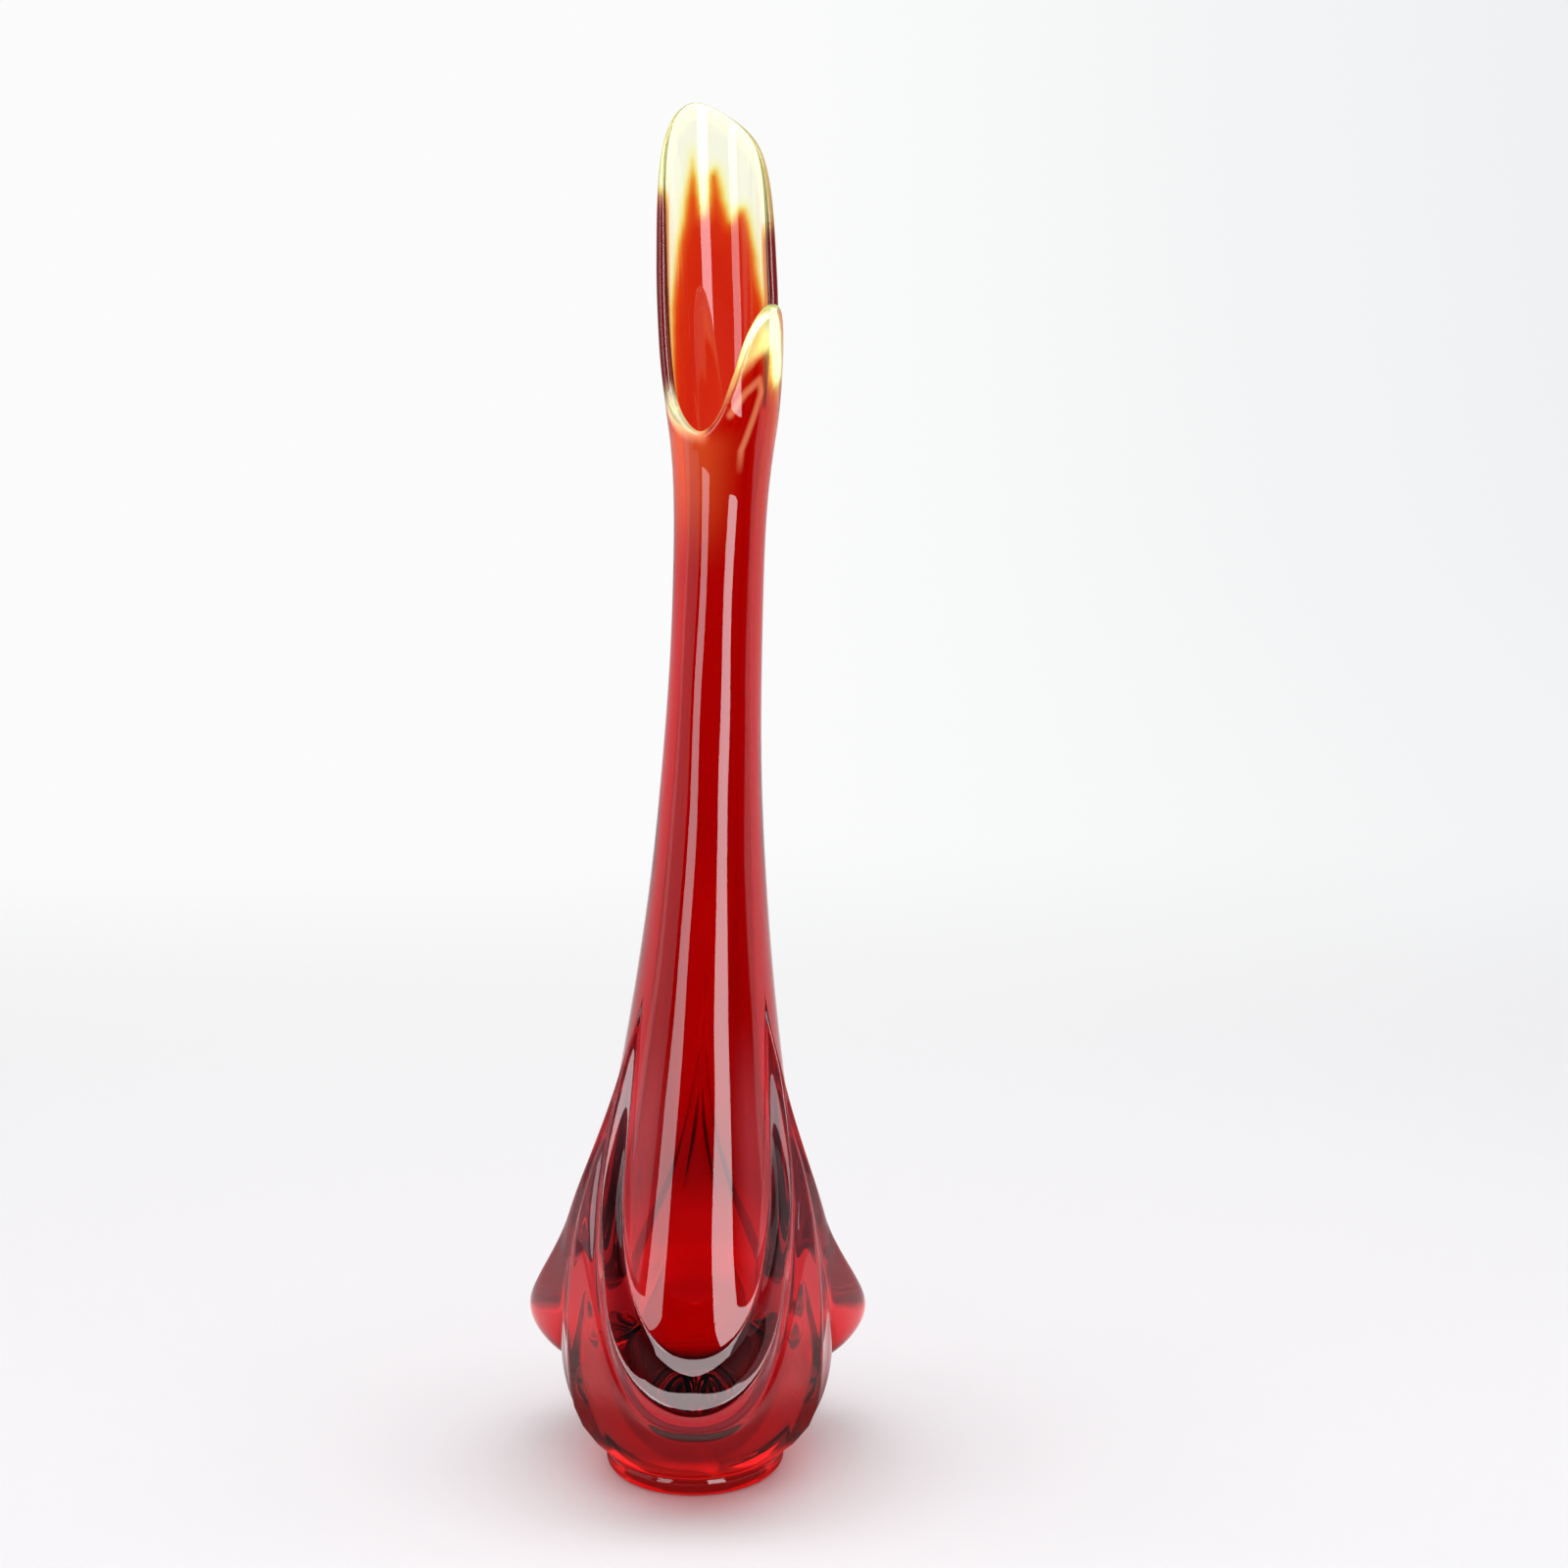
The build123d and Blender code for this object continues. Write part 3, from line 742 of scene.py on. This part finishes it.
def sweepMaterial():
    made = bpy.data.materials.new("palePaper")
    made.use_nodes = True
    tree = made.node_tree
    shader = tree.nodes["Principled BSDF"]
    shader.inputs["Base Color"].default_value = (*stage["floorColour"], 1)
    shader.inputs["Roughness"].default_value = stage["roughness"]
    shader.inputs["Specular IOR Level"].default_value = 0.0
    path = node(tree, "ShaderNodeLightPath")
    through = path.outputs["Is Transmission Ray"]
    here = node(tree, "ShaderNodeTexCoord").outputs["Object"]
    split = node(tree, "ShaderNodeSeparateXYZ")
    tree.links.new(here, split.inputs[0])
    x, y = split.outputs["X"], split.outputs["Y"]

    # seen directly or through glass, the upright part is plain pale paper, with painted shade a little
    # darker on the right
    glow = node(tree, "ShaderNodeEmission")
    across = easedRange(tree, x, *stage["shadeAcross"])
    shade = colourRamp(tree, across, [(0.0, stage["paperLeft"]), (1.0, stage["paperRight"])])
    tree.links.new(shade, glow.inputs["Color"])
    seen = maths(tree, "MAXIMUM", path.outputs["Is Camera Ray"], through)
    plain = maths(tree, "MULTIPLY", seen, easedRange(tree, y, *stage["plainFrom"]))
    paper = mixShaders(tree, plain, shader.outputs["BSDF"], glow.outputs["Emission"])

    # mirrored in the glass, the floor is painted dark: a painted shadow beside the vase and painted shade
    # from a little in front of it; seen through the glass, it is lit again further in front
    dim = node(tree, "ShaderNodeBsdfDiffuse")
    dim.inputs["Color"].default_value = (*stage["dimColour"], 1)
    reach = node(tree, "ShaderNodeVectorMath", operation="LENGTH")
    tree.links.new(here, reach.inputs[0])
    near = easedRange(tree, reach.outputs["Value"], *stage["dimNear"], stage["dimNearShare"])
    litAgain = maths(tree, "MULTIPLY", easedRange(tree, y, *stage["litAgain"]), through)
    inFront = maths(tree, "SUBTRACT", easedRange(tree, y, *stage["dimFront"]), litAgain, clamp=True)
    unlit = maths(tree, "MULTIPLY", maths(tree, "MAXIMUM", inFront, near), path.outputs["Is Glossy Ray"])
    surface = mixShaders(tree, unlit, paper, dim.outputs[0])
    tree.links.new(surface, tree.nodes["Material Output"].inputs["Surface"])
    return made


sweep = bpy.data.objects.new("paper_sweep", sweepMesh())
scene.collection.objects.link(sweep)
sweep.data.materials.append(sweepMaterial())
print("paper sweep made")


# two tall strips, a dim board and a long overhead strip show only as streaks in the glass, and their
# sizes set how wide the streaks are; a long window above lights the floor
lights = [
    dict(name="stripRight", place=(0.516, -0.971, 0.72), aim=(0, 0, 0.72), size=(0.42, 1.7), power=17,
         colour=(1.0, 0.96, 1.0)),
    dict(name="stripLeft", place=(-0.677, -0.867, 0.72), aim=(0, 0, 0.72), size=(0.34, 1.7), power=8,
         colour=(1.0, 0.96, 1.0)),
    dict(name="boardLeft", place=(-0.956, -0.292, 0.72), aim=(0, 0, 0.72), size=(0.69, 1.7), power=2.4,
         colour=(1.0, 0.95, 1.02)),
    dict(name="overhead", place=(0.0, -0.45, 1.35), aim=(0, 0, 0), size=(2.2, 0.9), power=42,
         colour=(1.0, 0.86, 0.89)),
    dict(name="window", place=(0.0, -0.1, 1.35), aim=(0, 0, 0.1), size=(2.2, 0.9), power=15.6,
         lightsFloor=True),
]


def addLight(name, place, aim, size, power, colour=(1, 1, 1), lightsFloor=False):
    data = bpy.data.lights.new(name, "AREA")
    data.shape = "RECTANGLE"
    data.size, data.size_y = size
    data.energy = power
    data.color = colour
    lamp = bpy.data.objects.new(name, data)
    scene.collection.objects.link(lamp)
    lamp.location = place
    # a lamp shines along its own -Z: it is tilted up from straight down, then turned about Z
    away = np.array(place, float) - np.array(aim, float)
    lamp.rotation_euler = (math.atan2(math.hypot(away[0], away[1]), away[2]), 0,
                           math.atan2(away[1], away[0]) + math.pi / 2)
    lamp.visible_diffuse = lamp.visible_transmission = lightsFloor
    lamp.visible_glossy = not lightsFloor


for light in lights:
    addLight(**light)
print("lights made:", len(lights))

# what the world shows to diffuse light, and in front of the vase and behind it to mirrored light and
# to light that has come through the glass; behind starts and is full at these values of the direction
studio = dict(
    daylight=(0.50, 0.50, 0.52), mirroredFront=(0.035, 0.03, 0.045), throughFront=(0.45, 0.43, 0.44),
    back=(0.62, 0.62, 0.63), behind=(0.0, 0.5),
)


def studioWorld():
    world = bpy.data.worlds.new("studio")
    world.use_nodes = True
    tree = world.node_tree
    tree.nodes.clear()
    out = node(tree, "ShaderNodeOutputWorld")
    path = node(tree, "ShaderNodeLightPath")
    mirrored, through = path.outputs["Is Glossy Ray"], path.outputs["Is Transmission Ray"]
    axes = node(tree, "ShaderNodeSeparateXYZ")
    tree.links.new(node(tree, "ShaderNodeTexCoord").outputs["Generated"], axes.inputs[0])
    behind = easedRange(tree, axes.outputs["Y"], *studio["behind"])

    def background(colour):
        made = node(tree, "ShaderNodeBackground")
        feed(tree, made.inputs["Color"], colour)
        return made.outputs[0]

    room = colourRamp(tree, behind, [(0.0, studio["mirroredFront"]), (1.0, studio["back"])])
    roomThrough = colourRamp(tree, behind, [(0.0, studio["throughFront"]), (1.0, studio["back"])])
    inGlass = background(mixColours(tree, through, room, roomThrough))
    daylight = background((*studio["daylight"], 1))
    lit = mixShaders(tree, maths(tree, "MAXIMUM", mirrored, through), daylight, inGlass)
    # past the paper's edges the camera sees plain pale paper too
    paper = background((*stage["paperRight"], 1))
    seen = mixShaders(tree, path.outputs["Is Camera Ray"], lit, paper)
    tree.links.new(seen, out.inputs["Surface"])
    return world


scene.world = studioWorld()
print("world made")

# the photograph's own viewpoint
view = dict(place=(0.03419, -1.2476, 0.60045), pitch=75.12, lens=81.0, sensor=36.0, nearest=0.01)
camera = bpy.data.objects.new("camera", bpy.data.cameras.new("camera"))
scene.collection.objects.link(camera)
camera.location = view["place"]
camera.rotation_euler = (math.radians(view["pitch"]), 0, 0)
camera.data.lens = view["lens"]
camera.data.sensor_width = view["sensor"]
camera.data.clip_start = view["nearest"]
scene.camera = camera
print("camera made")

scene.view_settings.view_transform = "Standard"
